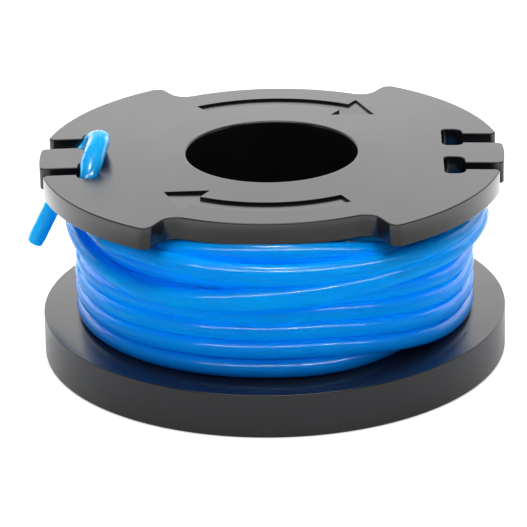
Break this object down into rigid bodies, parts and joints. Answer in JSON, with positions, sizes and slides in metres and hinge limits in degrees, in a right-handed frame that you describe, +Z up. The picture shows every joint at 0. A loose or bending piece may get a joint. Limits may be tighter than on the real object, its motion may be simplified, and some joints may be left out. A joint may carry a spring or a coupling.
{
  "type": "trimmer line spool",
  "caption": "Replacement spool for a grass trimmer: two flanges on a hollow hub, wound with blue nylon cutting line whose free end is parked in slots in the top flange.",
  "frame": {"origin": "centre of the spool's axis at the plane that the base flange rests on", "axes": "+Z up along the spool's axis, from the base flange to the slotted top flange; the two rim notches face -Y and +Y; the parked line end is on -X"},
  "size_m": [0.0621, 0.06, 0.0295],
  "materials": {
    "body_plastic": "satin moulded",
    "line_nylon": "gloss extruded",
    "core_nylon": "gloss extruded"
  },
  "bodies": {
    "root": {"top_flange": "body_plastic", "hub": "body_plastic", "base_flange": "body_plastic", "feed_lugs": "body_plastic", "line_core": "core_nylon", "line_winding": "line_nylon", "line_tail": "line_nylon", "line_anchor": "line_nylon"}
  },
  "joints": []
}
